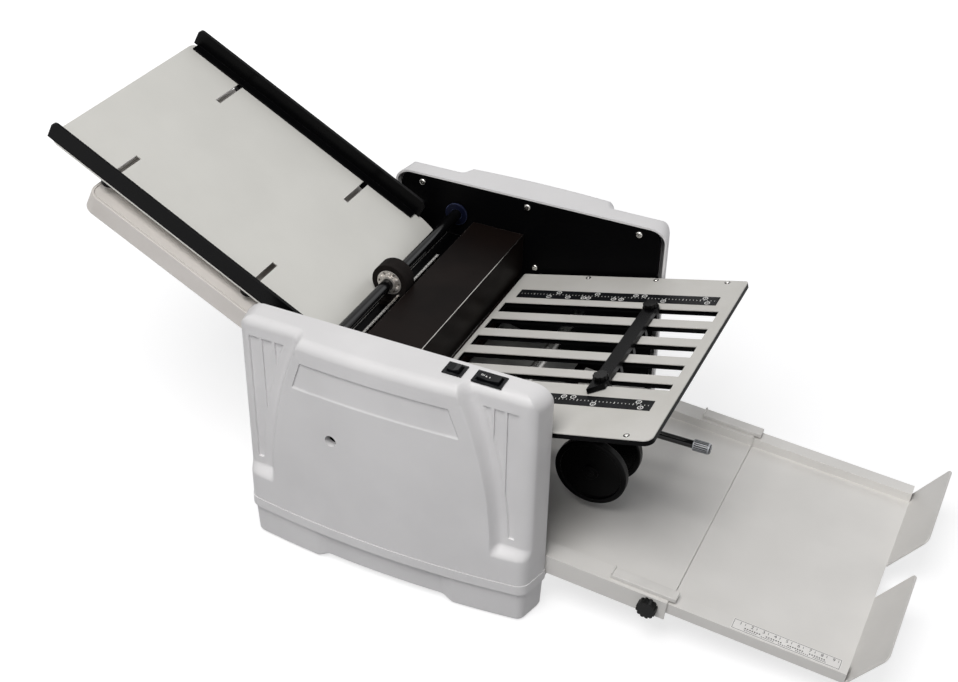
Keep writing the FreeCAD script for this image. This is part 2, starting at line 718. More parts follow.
def front_cover():
    """Front cover with a bare badge field, a service hole and two switch cut-outs."""
    low = BADGE_TOP_Z - BADGE_HEIGHT
    badge = prism_y([(BADGE_LEFT_X, BADGE_TOP_Z), (BADGE_RIGHT_X, BADGE_TOP_Z),
                     (BADGE_RIGHT_X + BADGE_FLARE, low), (BADGE_LEFT_X - BADGE_FLARE, low)],
                    INNER_HALF_GAP, COVER_OUT_Y + OVERRUN)
    badge = badge.cut(bow_band(BADGE_DEPTH, INNER_HALF_GAP, SEAM_HEIGHT, HOUSING_HEIGHT, 0))
    hole = rod_y(SERVICE_HOLE_RADIUS, SERVICE_HOLE_X, SERVICE_HOLE_Z,
                 COVER_OUT_Y - 2 * COVER_WALL, COVER_OUT_Y + OVERRUN)
    shell = mirrored(cover_shell().cut(badge).cut(hole))
    for x, length in ((POWER_SWITCH_X, POWER_SWITCH_LENGTH), (JOG_SWITCH_X, JOG_SWITCH_LENGTH)):
        shell = shell.cut(box(x - length / 2 - SEAT_GAP, x + length / 2 + SEAT_GAP,
                              SWITCH_Y - SWITCH_WIDTH / 2 - SEAT_GAP,
                              SWITCH_Y + SWITCH_WIDTH / 2 + SEAT_GAP,
                              HOUSING_HEIGHT - COVER_WALL - OVERRUN, HOUSING_HEIGHT + OVERRUN))
    return shell


def rear_cover():
    """Rear cover with the cut-out for the mains inlet."""
    opening = box(INLET_X - INLET_LENGTH / 2 - SEAT_GAP, INLET_X + INLET_LENGTH / 2 + SEAT_GAP,
                  COVER_OUT_Y - 2 * COVER_WALL, COVER_OUT_Y + OVERRUN,
                  INLET_Z - INLET_HEIGHT / 2 - SEAT_GAP, INLET_Z + INLET_HEIGHT / 2 + SEAT_GAP)
    return cover_shell().cut(opening)


def plinth():
    """Skirt under the rear cover: a flush band above, two feet and a shallow arch below."""
    band_low = SEAM_HEIGHT - BAND_HEIGHT
    band = bowed_block(0, INNER_HALF_GAP, band_low, SEAM_HEIGHT, 0, 0)
    foot_low = FOOT_THICKNESS - FOOT_DROP
    lower = bowed_block(PLINTH_INSET, INNER_HALF_GAP, foot_low, band_low, 0, 0)
    lower = round_edges(lower, PLINTH_EDGE_RADIUS,
                        lambda p: near(p.z, foot_low) and p.y > INNER_HALF_GAP + RUN_GAP)
    solid = fuse(band, lower)
    floor_top = foot_low + ARCH_RISE + PLINTH_FLOOR
    inner = HOUSING_HALF_LENGTH - COVER_WALL
    cavity = box(-inner, inner, INNER_HALF_GAP - OVERRUN, COVER_OUT_Y, floor_top, SEAM_HEIGHT + OVERRUN)
    cavity = cavity.common(bow_band(PLINTH_INSET + ARCH_RECESS + COVER_WALL, INNER_HALF_GAP - 2 * OVERRUN,
                                    floor_top, SEAM_HEIGHT + OVERRUN, 0))
    arch = box(ARCH_LEFT_X, ARCH_RIGHT_X, INNER_HALF_GAP - OVERRUN, COVER_OUT_Y + OVERRUN,
               foot_low - OVERRUN, foot_low + ARCH_RISE)
    face_step = box(ARCH_LEFT_X, ARCH_RIGHT_X, INNER_HALF_GAP, COVER_OUT_Y + OVERRUN, foot_low - OVERRUN, band_low)
    recessed = bow_band(PLINTH_INSET + ARCH_RECESS, INNER_HALF_GAP, foot_low - 2 * OVERRUN, band_low, 0)
    face_step = face_step.cut(recessed)
    solid = solid.cut(cavity).cut(arch).cut(face_step)
    boss_top = PLATE_BOTTOM_Z - SEAT_GAP
    bosses = [box(side * FOOT_X - BOSS_LENGTH / 2, side * FOOT_X + BOSS_LENGTH / 2, INNER_HALF_GAP,
                  INNER_HALF_GAP + BOSS_DEPTH, floor_top, boss_top) for side in (-1, 1)]
    return fuse(solid, *bosses)


def rubber_feet():
    """Four round pads under the plinths."""
    y = INNER_HALF_GAP + COVER_END_DEPTH / 2
    pads = [rod_z(FOOT_RADIUS, side * FOOT_X, y, -FOOT_DROP, FOOT_THICKNESS - FOOT_DROP) for side in (-1, 1)]
    return group(pads + [mirrored(pad) for pad in pads])


def screw_places():
    """The x, z places of the pan-head screws in a side plate."""
    top = [(x, TOP_SCREW_Z) for x in TOP_SCREW_XS]
    return top + [(MID_SCREW_X, MID_SCREW_Z), (LOW_SCREW_X, LOW_SCREW_Z)]


def side_plate():
    """Steel plate of the rear side with its bearing, bush and screw holes."""
    half = HOUSING_HALF_LENGTH - COVER_WALL - SEAT_GAP
    top = HOUSING_HEIGHT - COVER_WALL - SEAT_GAP
    plate = box(-half, half, INNER_HALF_GAP, PLATE_OUT_Y, PLATE_BOTTOM_Z, top)
    plate = round_edges(plate, PLATE_CORNER_RADIUS, lambda p: near(p.z, top) and near(abs(p.x), half))
    y0 = INNER_HALF_GAP - OVERRUN
    y1 = PLATE_OUT_Y + OVERRUN
    holes = [rod_y(BEARING_RADIUS + PRESS_GAP, x, z, y0, y1) for x, z in ROLLERS.values()]
    holes.append(rod_y(BUSH_RADIUS + PRESS_GAP, FEED_X, FEED_Z, y0, y1))
    holes += [rod_y(SCREW_HOLE_RADIUS, x, z, y0, y1) for x, z in screw_places()]
    for hole in holes:
        plate = plate.cut(hole)
    return plate


def front_side_plate():
    """Front side plate, which also has the hole for the motor's nose."""
    nose = rod_y(MOTOR_PLATE_HOLE, MOTOR_X, MOTOR_Z, -PLATE_OUT_Y - OVERRUN, -INNER_HALF_GAP + OVERRUN)
    return mirrored(side_plate()).cut(nose)


def housing_screws():
    """Pan-head screws with their heads on the inner faces of both side plates."""
    screws = []
    for x, z in screw_places():
        head = rod_y(SCREW_HEAD_RADIUS, x, z, INNER_HALF_GAP - SCREW_HEAD_HEIGHT, INNER_HALF_GAP)
        head = round_edges(head, SCREW_HEAD_HEIGHT / 2,
                           lambda p: near(p.y, INNER_HALF_GAP - SCREW_HEAD_HEIGHT))
        shank = rod_y(SCREW_RADIUS, x, z, INNER_HALF_GAP, INNER_HALF_GAP + SCREW_LENGTH)
        screws.append(fuse(head, shank))
    return group(screws + [mirrored(screw) for screw in screws])


def base_pan():
    """Bottom sheet with upturned sides and a cross web that carries the tray."""
    half = HOUSING_HALF_LENGTH - PAN_END_GAP
    top = PAN_UNDER_Z + PAN_THICKNESS
    floor = box(-half, half, -CROSS_HALF_WIDTH, CROSS_HALF_WIDTH, PAN_UNDER_Z, top)
    rise = PAN_UNDER_Z + PAN_FLANGE_HEIGHT
    flanges = [box(-half, half, side * CROSS_HALF_WIDTH - (side + 1) / 2 * PAN_THICKNESS,
                   side * CROSS_HALF_WIDTH - (side - 1) / 2 * PAN_THICKNESS, PAN_UNDER_Z, rise)
               for side in (-1, 1)]
    run = (TRAY_END_X - TRAY_POST_X) * math.tan(math.radians(TRAY_TILT))
    under = TRAY_END_Z + run - (TRAY_WALL_HEIGHT + SEAT_GAP) / math.cos(math.radians(TRAY_TILT))
    under -= TRAY_POST_THICKNESS * math.tan(math.radians(TRAY_TILT))
    web = box(TRAY_POST_X, TRAY_POST_X + TRAY_POST_THICKNESS, -CROSS_HALF_WIDTH, CROSS_HALF_WIDTH,
              PAN_UNDER_Z, under)
    return fuse(floor, web, *flanges)


def tie_rods():
    """Round cross members between the side plates."""
    places = ((REAR_TIE_X, REAR_TIE_Z), (TABLE_TIE_X, TABLE_TIE_Z), (LOW_TIE_X, LOW_TIE_Z))
    return group([rod_y(TIE_RADIUS, x, z, -CROSS_HALF_WIDTH, CROSS_HALF_WIDTH) for x, z in places])


def end_panel():
    """Sheet that closes the left end below the lower fold table."""
    low = PAN_UNDER_Z + PAN_THICKNESS + SEAT_GAP
    side = CROSS_HALF_WIDTH - PAN_THICKNESS - SEAT_GAP
    return box(END_PANEL_X, END_PANEL_X + END_PANEL_THICKNESS, -side, side, low, END_PANEL_TOP_Z)


def fold_roller(name):
    """One fold roller with its journals turned on."""
    x, z = ROLLERS[name]
    body_half = INNER_HALF_GAP - ROLLER_END_GAP
    barrel = rod_y(ROLLER_RADIUS, x, z, -body_half, body_half)
    rear_end = PLATE_OUT_Y + GEAR_OFFSET + GEAR_WIDTH
    front_reach = {"a": PULLEY_OFFSET + PULLEY_WIDTH, "d": PULLEY_OFFSET + PULLEY_WIDTH}.get(name, BEARING_LENGTH)
    journal = rod_y(JOURNAL_RADIUS, x, z, -PLATE_OUT_Y - front_reach, rear_end)
    return fuse(barrel, journal)


def bearing(x, z, shaft_radius, radius, flange_radius, flange):
    """Flanged plain bearing pressed into the rear side plate from inside."""
    body = rod_y(radius, x, z, INNER_HALF_GAP, PLATE_OUT_Y + flange)
    collar = rod_y(flange_radius, x, z, INNER_HALF_GAP - flange, INNER_HALF_GAP)
    bore = rod_y(shaft_radius + RUN_GAP, x, z, INNER_HALF_GAP - OVERRUN, PLATE_OUT_Y + OVERRUN)
    return fuse(body, collar).cut(bore)


def roller_bearings():
    """Two bearings for each fold roller."""
    rear = [bearing(x, z, JOURNAL_RADIUS, BEARING_RADIUS, BEARING_FLANGE_RADIUS, BEARING_FLANGE)
            for x, z in ROLLERS.values()]
    return group(rear + [mirrored(item) for item in rear])


def feed_bushings():
    """Dark flanged bushes of the feed shaft."""
    rear = bearing(FEED_X, FEED_Z, FEED_SHAFT_RADIUS, BUSH_RADIUS, BUSH_FLANGE_RADIUS, BUSH_FLANGE)
    return both_sides(rear)


def gear_phase(name):
    """Angle of a tooth of each gear at which the whole train is in mesh."""
    pitch_angle = 2 * math.pi / GEAR_TEETH
    order = ("a", "b", "c", "d")
    phase = 0.0
    for index in range(order.index(name)):
        x0, z0 = ROLLERS[order[index]]
        x1, z1 = ROLLERS[order[index + 1]]
        line = math.atan2(z1 - z0, x1 - x0)
        phase = line + math.pi - pitch_angle / 2 + (line - phase)
    return phase


def gear(name):
    """Spur gear whose pitch circle touches that of its neighbour on the next roller."""
    x, z = ROLLERS[name]
    pitch_radius = ROLLER_RADIUS + NIP_GAP / 2
    module = 2 * pitch_radius / GEAR_TEETH
    root = pitch_radius - DEDENDUM_SHARE * module
    tip = pitch_radius + ADDENDUM_SHARE * module
    step = 2 * math.pi / GEAR_TEETH
    phase = gear_phase(name)
    points = []
    for index in range(GEAR_TEETH):
        centre = phase + index * step
        profile = ((root, -TOOTH_ROOT_SHARE), (pitch_radius, -TOOTH_PITCH_SHARE), (tip, -TOOTH_TIP_SHARE),
                   (tip, TOOTH_TIP_SHARE), (pitch_radius, TOOTH_PITCH_SHARE), (root, TOOTH_ROOT_SHARE))
        for radius, share in profile:
            angle = centre + share * step / 2
            points.append((x + radius * math.cos(angle), z + radius * math.sin(angle)))
    y0 = PLATE_OUT_Y + GEAR_OFFSET
    blank = prism_y(points, y0, y0 + GEAR_WIDTH)
    return blank.cut(rod_y(JOURNAL_RADIUS + PRESS_GAP, x, z, y0 - OVERRUN, y0 + GEAR_WIDTH + OVERRUN))


def pulley(x, z, seat_radius, bore_radius):
    """Flanged belt pulley on the front side."""
    y1 = -PLATE_OUT_Y - PULLEY_OFFSET
    y0 = y1 - PULLEY_WIDTH
    seat = rod_y(seat_radius, x, z, y0, y1)
    rim = seat_radius + PULLEY_FLANGE_RISE
    flanges = [rod_y(rim, x, z, y0, y0 + PULLEY_FLANGE), rod_y(rim, x, z, y1 - PULLEY_FLANGE, y1)]
    return fuse(seat, *flanges).cut(rod_y(bore_radius, x, z, y0 - OVERRUN, y1 + OVERRUN))


def loop_face(first, first_radius, second, second_radius, y):
    """Face inside a band stretched round two circles."""
    line = math.atan2(second[1] - first[1], second[0] - first[0])
    distance = math.hypot(second[0] - first[0], second[1] - first[1])
    spread = math.acos((first_radius - second_radius) / distance)

    def spot(centre, radius, angle):
        return VEC(centre[0] + radius * math.cos(angle), y, centre[1] + radius * math.sin(angle))

    upper = (spot(first, first_radius, line + spread), spot(second, second_radius, line + spread))
    lower = (spot(first, first_radius, line - spread), spot(second, second_radius, line - spread))
    edges = [Part.Arc(upper[0], spot(first, first_radius, line + math.pi), lower[0]).toShape(),
             Part.makeLine(lower[0], lower[1]),
             Part.Arc(lower[1], spot(second, second_radius, line), upper[1]).toShape(),
             Part.makeLine(upper[1], upper[0])]
    return Part.Face(Part.Wire(edges))


def belt(first, first_radius, second, second_radius):
    """Flat belt round two pulleys, just clear of their seats."""
    y0 = -PLATE_OUT_Y - PULLEY_OFFSET - PULLEY_WIDTH + PULLEY_FLANGE + BELT_GAP
    width = PULLEY_WIDTH - 2 * (PULLEY_FLANGE + BELT_GAP)
    inner = BELT_GAP
    outer = BELT_GAP + BELT_THICKNESS
    out_face = loop_face(first, first_radius + outer, second, second_radius + outer, y0)
    in_face = loop_face(first, first_radius + inner, second, second_radius + inner, y0)
    return out_face.extrude(VEC(0, width, 0)).cut(in_face.extrude(VEC(0, width, 0)))


def feed_belt():
    """Belt from the top fold roller to the feed shaft."""
    return belt(ROLLERS["a"], ROLLER_A_PULLEY_RADIUS, (FEED_X, FEED_Z), FEED_PULLEY_RADIUS)


def drive_belt():
    """Belt from the motor to the lowest fold roller."""
    return belt(ROLLERS["d"], ROLLER_D_PULLEY_RADIUS, (MOTOR_X, MOTOR_Z), MOTOR_PULLEY_RADIUS)


def motor():
    """Motor can hung on the inner face of the front side plate."""
    y0 = -CROSS_HALF_WIDTH
    can = rod_y(MOTOR_RADIUS, MOTOR_X, MOTOR_Z, y0, y0 + MOTOR_LENGTH)
    bell = rod_y(MOTOR_BELL_RADIUS, MOTOR_X, MOTOR_Z, y0 + MOTOR_LENGTH, y0 + MOTOR_LENGTH + MOTOR_BELL_LENGTH)
    nose = rod_y(MOTOR_BOSS_RADIUS, MOTOR_X, MOTOR_Z, -PLATE_OUT_Y, y0)
    bore = rod_y(MOTOR_SHAFT_RADIUS + RUN_GAP, MOTOR_X, MOTOR_Z, -PLATE_OUT_Y - OVERRUN, y0 + MOTOR_BORE_DEPTH)
    return fuse(can, bell, nose).cut(bore)


def motor_pulley():
    """Motor spindle with its small pulley in one piece."""
    y_end = -PLATE_OUT_Y - PULLEY_OFFSET - PULLEY_WIDTH
    wheel = pulley(MOTOR_X, MOTOR_Z, MOTOR_PULLEY_RADIUS, MOTOR_SHAFT_RADIUS / 2)
    spindle = rod_y(MOTOR_SHAFT_RADIUS, MOTOR_X, MOTOR_Z, y_end,
                    -CROSS_HALF_WIDTH + MOTOR_BORE_DEPTH - BODY_GAP)
    return fuse(wheel, spindle)


def feed_shaft():
    """Feed shaft from the pulley on the front side to the rear bush."""
    return rod_y(FEED_SHAFT_RADIUS, FEED_X, FEED_Z, -PLATE_OUT_Y - PULLEY_OFFSET - PULLEY_WIDTH,
                 PLATE_OUT_Y + BUSH_FLANGE)


def feed_roller_hub():
    """Light hub of the feed roller with a boss and a ring of pockets."""
    y0 = FEED_ROLLER_FRONT_Y
    y1 = y0 + FEED_ROLLER_WIDTH
    hub = fuse(rod_y(FEED_HUB_RADIUS, FEED_X, FEED_Z, y0, y1),
               rod_y(HUB_BOSS_RADIUS - HUB_POCKET_RADIUS, FEED_X, FEED_Z, y0 - HUB_BOSS_LENGTH, y0))
    hub = hub.cut(rod_y(FEED_SHAFT_RADIUS + PRESS_GAP, FEED_X, FEED_Z, y0 - OVERRUN, y1 + OVERRUN))
    for index in range(HUB_POCKETS):
        angle = 2 * math.pi * index / HUB_POCKETS
        x = FEED_X + HUB_POCKET_RING * math.cos(angle)
        z = FEED_Z + HUB_POCKET_RING * math.sin(angle)
        hub = hub.cut(rod_y(HUB_POCKET_RADIUS, x, z, y0 - OVERRUN, y0 + HUB_POCKET_DEPTH))
    return hub


def feed_roller_tyre():
    """Rubber tyre of the feed roller."""
    y0 = FEED_ROLLER_FRONT_Y
    y1 = y0 + FEED_ROLLER_WIDTH
    tyre = rod_y(FEED_TYRE_RADIUS, FEED_X, FEED_Z, y0, y1)
    return tyre.cut(rod_y(FEED_HUB_RADIUS + PRESS_GAP, FEED_X, FEED_Z, y0 - OVERRUN, y1 + OVERRUN))


def separator_plate():
    """Folded cross plate that carries the pad, with an upturned lip on its right edge."""
    top = SEPARATOR_TOP_Z
    low = top - SEPARATOR_THICKNESS
    flat = box(SEPARATOR_LEFT_X, SEPARATOR_RIGHT_X, -CROSS_HALF_WIDTH, CROSS_HALF_WIDTH, low, top)
    lip = box(SEPARATOR_RIGHT_X - SEPARATOR_THICKNESS, SEPARATOR_RIGHT_X, -CROSS_HALF_WIDTH, CROSS_HALF_WIDTH,
              low, top + SEPARATOR_LIP_RISE)
    skirt = box(SEPARATOR_LEFT_X, SEPARATOR_LEFT_X + SEPARATOR_THICKNESS, -CROSS_HALF_WIDTH,
                CROSS_HALF_WIDTH, low - SEPARATOR_SKIRT, top)
    notch = box(SEPARATOR_RIGHT_X - OVERRUN, SEPARATOR_RIGHT_X + OVERRUN, FEED_ROLLER_FRONT_Y - NOTCH_MARGIN,
                FEED_ROLLER_FRONT_Y + FEED_ROLLER_WIDTH + NOTCH_MARGIN, top, top + SEPARATOR_LIP_RISE + OVERRUN)
    return fuse(flat, lip, skirt).cut(notch)


def separator_pad():
    """Rubber pad pressed towards the feed roller from below."""
    top = FEED_Z - FEED_TYRE_RADIUS - SEAT_GAP
    middle = FEED_ROLLER_FRONT_Y + FEED_ROLLER_WIDTH / 2
    return box(FEED_X - PAD_LENGTH / 2, FEED_X + PAD_LENGTH / 2, middle - PAD_HALF_WIDTH,
               middle + PAD_HALF_WIDTH, SEPARATOR_TOP_Z, top)


def top_cover():
    """Dark folded sheet over the fold rollers, with a face that drops on the right."""
    t = TOP_COVER_THICKNESS
    w = CROSS_HALF_WIDTH
    flat = box(TOP_COVER_LEFT_X, TOP_COVER_RIGHT_X, -w, w, TOP_COVER_Z - t, TOP_COVER_Z)
    face = box(TOP_COVER_RIGHT_X - t, TOP_COVER_RIGHT_X, -w, w, TOP_COVER_FACE_LOW_Z, TOP_COVER_Z)
    lip = box(TOP_COVER_LEFT_X, TOP_COVER_LEFT_X + t, -w, w, TOP_COVER_Z - TOP_COVER_LIP, TOP_COVER_Z)
    return fuse(flat, face, lip)


def feed_deck():
    """Feed deck sheet whose lower end curves down to the feed roller."""
    flat = rounded_plate(-DECK_LENGTH, -DECK_LIP_START, DECK_HALF_WIDTH, -DECK_THICKNESS, 0,
                         DECK_CORNER_RADIUS, False)
    for along in (GUIDE_STUD_LOWER, GUIDE_STUD_UPPER):
        for side in (-1, 1):
            outer = DECK_HALF_WIDTH - GUIDE_THICKNESS - GUIDE_FOOT / 2 + GUIDE_SLOT_WIDTH / 2
            inner = outer - GUIDE_TRAVEL - GUIDE_SLOT_WIDTH
            low, high = sorted((side * inner, side * outer))
            flat = flat.cut(box(-along - GUIDE_SLOT_WIDTH / 2, -along + GUIDE_SLOT_WIDTH / 2, low, high,
                                -DECK_THICKNESS - OVERRUN, OVERRUN))
    flat = sloped(flat, DECK_LOW_X, DECK_LOW_Z, DECK_TILT)
    start_x, start_z = slope_point(DECK_LOW_X, DECK_LOW_Z, DECK_TILT, -DECK_LIP_START, 0)
    first = math.radians(DECK_TILT)
    last = math.radians(DECK_TILT + DECK_LIP_SWEEP)
    centre_x = start_x - DECK_LIP_RADIUS * math.sin(first)
    centre_z = start_z - DECK_LIP_RADIUS * math.cos(first)

    def spot(radius, angle):
        return VEC(centre_x + radius * math.sin(angle), -DECK_HALF_WIDTH, centre_z + radius * math.cos(angle))

    inner = DECK_LIP_RADIUS - DECK_THICKNESS
    middle = (first + last) / 2
    edges = [Part.Arc(spot(DECK_LIP_RADIUS, first), spot(DECK_LIP_RADIUS, middle),
                      spot(DECK_LIP_RADIUS, last)).toShape(),
             Part.makeLine(spot(DECK_LIP_RADIUS, last), spot(inner, last)),
             Part.Arc(spot(inner, last), spot(inner, middle), spot(inner, first)).toShape(),
             Part.makeLine(spot(inner, first), spot(DECK_LIP_RADIUS, first))]
    lip = Part.Face(Part.Wire(edges)).extrude(VEC(0, 2 * DECK_HALF_WIDTH, 0))
    return fuse(flat, lip)


def paper_guide():
    """Rear side guide: upright wall and foot on the deck, with its two clamping studs and nuts."""
    wall = box(-DECK_LENGTH, 0, DECK_HALF_WIDTH - GUIDE_THICKNESS, DECK_HALF_WIDTH, SEAT_GAP, GUIDE_HEIGHT)
    wall = round_edges(wall, GUIDE_END_RADIUS,
                       lambda p: near(p.z, GUIDE_HEIGHT) and (near(p.x, 0) or near(p.x, -DECK_LENGTH)))
    foot = box(-DECK_LENGTH + GUIDE_END_RADIUS, -GUIDE_END_RADIUS, DECK_HALF_WIDTH - GUIDE_THICKNESS - GUIDE_FOOT,
               DECK_HALF_WIDTH - GUIDE_THICKNESS, SEAT_GAP, SEAT_GAP + GUIDE_FOOT_THICKNESS)
    y = DECK_HALF_WIDTH - GUIDE_THICKNESS - GUIDE_FOOT / 2
    nut_top = -DECK_THICKNESS - SEAT_GAP
    pieces = []
    for along in (GUIDE_STUD_LOWER, GUIDE_STUD_UPPER):
        pieces.append(rod_z(GUIDE_STUD_RADIUS, -along, y, nut_top, SEAT_GAP + GUIDE_FOOT_THICKNESS))
        pieces.append(rod_z(GUIDE_NUT_RADIUS, -along, y, nut_top - GUIDE_NUT_HEIGHT, nut_top))
    return sloped(fuse(wall, foot, *pieces), DECK_LOW_X, DECK_LOW_Z, DECK_TILT)


def ledge(along, length, reach, under, side_gap):
    """Angle under the rear edge of a flat-built table: one leg below it, one on the side plate."""
    low = -under - SEAT_GAP - BRACKET_THICKNESS
    shelf = box(along, along + length, side_gap - reach, CROSS_HALF_WIDTH, low, low + BRACKET_THICKNESS)
    leg = box(along, along + length, CROSS_HALF_WIDTH - BRACKET_THICKNESS, CROSS_HALF_WIDTH,
              low - BRACKET_LEG, low)
    return fuse(shelf, leg)


def table_brackets():
    """Angles on both side plates that carry the deck and the two fold tables."""
    deck = ledge(-DECK_BRACKET_START - DECK_BRACKET_LENGTH, DECK_BRACKET_LENGTH, DECK_BRACKET_REACH,
                 DECK_THICKNESS, DECK_HALF_WIDTH)
    deck = sloped(deck, DECK_LOW_X, DECK_LOW_Z, DECK_TILT)
    lower = ledge(-LOWER_BRACKET_LENGTH, LOWER_BRACKET_LENGTH, LOWER_BRACKET_REACH, 0, LOWER_TABLE_HALF_WIDTH)
    lower = sloped(lower, LOWER_TABLE_X, LOWER_TABLE_Z, LOWER_TILT)
    upper_depth = 2 * UPPER_SHEET + UPPER_CHANNEL
    upper = ledge(LEDGE_START, LEDGE_LENGTH, LEDGE_REACH, upper_depth, UPPER_TABLE_HALF_WIDTH)
    upper = sloped(upper, UPPER_TABLE_X, UPPER_TABLE_Z, -UPPER_TILT)
    rear = [deck, lower, upper]
    return group(rear + [mirrored(item) for item in rear])


def lower_table_tray():
    """Open moulded tray of the lower fold table: floor, side walls, closed upper end."""
    length = LOWER_TABLE_LENGTH
    half = LOWER_TABLE_HALF_WIDTH
    wall = LOWER_TABLE_WALL
    outer = rounded_plate(-length, 0, half, 0, LOWER_TABLE_HEIGHT, LOWER_TABLE_CORNER, False)
    inner = rounded_plate(-length + wall, OVERRUN, half - wall, LOWER_TABLE_FLOOR,
                          LOWER_TABLE_HEIGHT + OVERRUN, LOWER_TABLE_CORNER - wall, False)
    tray = outer.cut(inner)
    for side in (-1, 1):
        slot = box(-LOWER_STOP_PLACE - LOWER_STOP_UP - LOWER_SLOT_WIDTH,
                   -LOWER_STOP_PLACE + LOWER_STOP_DOWN + LOWER_SLOT_WIDTH,
                   side * LOWER_SLOT_Y - LOWER_SLOT_WIDTH / 2, side * LOWER_SLOT_Y + LOWER_SLOT_WIDTH / 2,
                   -OVERRUN, LOWER_TABLE_FLOOR + OVERRUN / 2)
        tray = tray.cut(slot)
    return sloped(tray, LOWER_TABLE_X, LOWER_TABLE_Z, LOWER_TILT)


def lower_table_lid():
    """Lid of the lower fold table with the channel sheet hung under it."""
    length = LOWER_TABLE_LENGTH
    wall = LOWER_TABLE_WALL + SEAT_GAP
    half = LOWER_TABLE_HALF_WIDTH - wall
    top = LOWER_TABLE_HEIGHT
    radius = LOWER_TABLE_CORNER - wall
    lid = rounded_plate(-length + wall, 0, half, top - LOWER_LID_THICKNESS, top, radius, False)
    channel_top = LOWER_TABLE_FLOOR + LOWER_CHANNEL
    sheet = rounded_plate(-length + wall, 0, half, channel_top, channel_top + LOWER_SHEET, radius, False)
    webs = [box(-length + LOWER_TABLE_CORNER, 0, side * half - (side + 1) / 2 * LOWER_SHEET,
                side * half - (side - 1) / 2 * LOWER_SHEET, channel_top, top) for side in (-1, 1)]
    return sloped(fuse(lid, sheet, *webs), LOWER_TABLE_X, LOWER_TABLE_Z, LOWER_TILT)


def lower_stop():
    """Paper stop in the channel of the lower table, clamped by two knobs under its floor."""
    half = LOWER_TABLE_HALF_WIDTH - LOWER_TABLE_WALL - LOWER_STOP_SIDE_GAP
    low = LOWER_TABLE_FLOOR + SEAT_GAP
    bar = box(-LOWER_STOP_PLACE - LOWER_STOP_WIDTH / 2, -LOWER_STOP_PLACE + LOWER_STOP_WIDTH / 2, -half, half,
              low, LOWER_TABLE_FLOOR + LOWER_CHANNEL - SEAT_GAP)
    pieces = []
    for side in (-1, 1):
        y = side * LOWER_SLOT_Y
        pieces.append(rod_z(LOWER_STUD_RADIUS, -LOWER_STOP_PLACE, y, -SEAT_GAP, low))
        pieces.append(rod_z(LOWER_KNOB_RADIUS, -LOWER_STOP_PLACE, y, -SEAT_GAP - LOWER_KNOB_HEIGHT, -SEAT_GAP))
    return sloped(fuse(bar, *pieces), LOWER_TABLE_X, LOWER_TABLE_Z, LOWER_TILT)


def slot_rows():
    """Middle and width of each long slot of the upper table, from the rear."""
    rows = [(REAR_SLOT_Y - index * SLOT_PITCH, SLOT_WIDTH) for index in range(FULL_SLOTS)]
    return rows + [(NARROW_SLOT_Y, NARROW_SLOT_WIDTH)]


def upper_blank(z0, z1):
    """Upper table outline between two heights, rounder at the front right corner than at the rear one."""
    half = UPPER_TABLE_HALF_WIDTH
    plate = box(0, UPPER_TABLE_LENGTH, -half, half, z0, z1)
    plate = round_edges(plate, UPPER_FRONT_CORNER, lambda p: near(p.x, UPPER_TABLE_LENGTH) and near(p.y, -half))
    return round_edges(plate, UPPER_REAR_CORNER, lambda p: near(p.x, UPPER_TABLE_LENGTH) and near(p.y, half))


def slotted_sheet(z0, z1):
    """One slotted sheet of the upper table, flat."""
    sheet = upper_blank(z0, z1)
    for y, width in slot_rows():
        sheet = sheet.cut(box(SLOT_START, SLOT_END, y - width / 2, y + width / 2, z0 - OVERRUN, z1 + OVERRUN))
    return sheet


def upper_table_top():
    """Upper sheet of the upper fold table."""
    return sloped(slotted_sheet(-UPPER_SHEET, 0), UPPER_TABLE_X, UPPER_TABLE_Z, -UPPER_TILT)


def upper_table_bottom():
    """Lower sheet with raised rims that hold the upper sheet at the paper gap."""
    top = -UPPER_SHEET - UPPER_CHANNEL
    low = top - UPPER_SHEET
    half = UPPER_TABLE_HALF_WIDTH
    sheet = slotted_sheet(low, top)
    block = upper_blank(top, -UPPER_SHEET)
    hollow = box(-OVERRUN, UPPER_TABLE_LENGTH - UPPER_RIM, -half + UPPER_RIM, half - UPPER_RIM,
                 top - OVERRUN, OVERRUN)
    return sloped(fuse(sheet, block.cut(hollow)), UPPER_TABLE_X, UPPER_TABLE_Z, -UPPER_TILT)


def scale_strips():
    """Two thin scale strips on the upper table, beside the slots."""
    strips = [box(SCALE_START, SCALE_END, y - SCALE_WIDTH / 2, y + SCALE_WIDTH / 2, 0, SCALE_THICKNESS)
              for y in (REAR_SCALE_Y, FRONT_SCALE_Y)]
    return sloped(group(strips), UPPER_TABLE_X, UPPER_TABLE_Z, -UPPER_TILT)


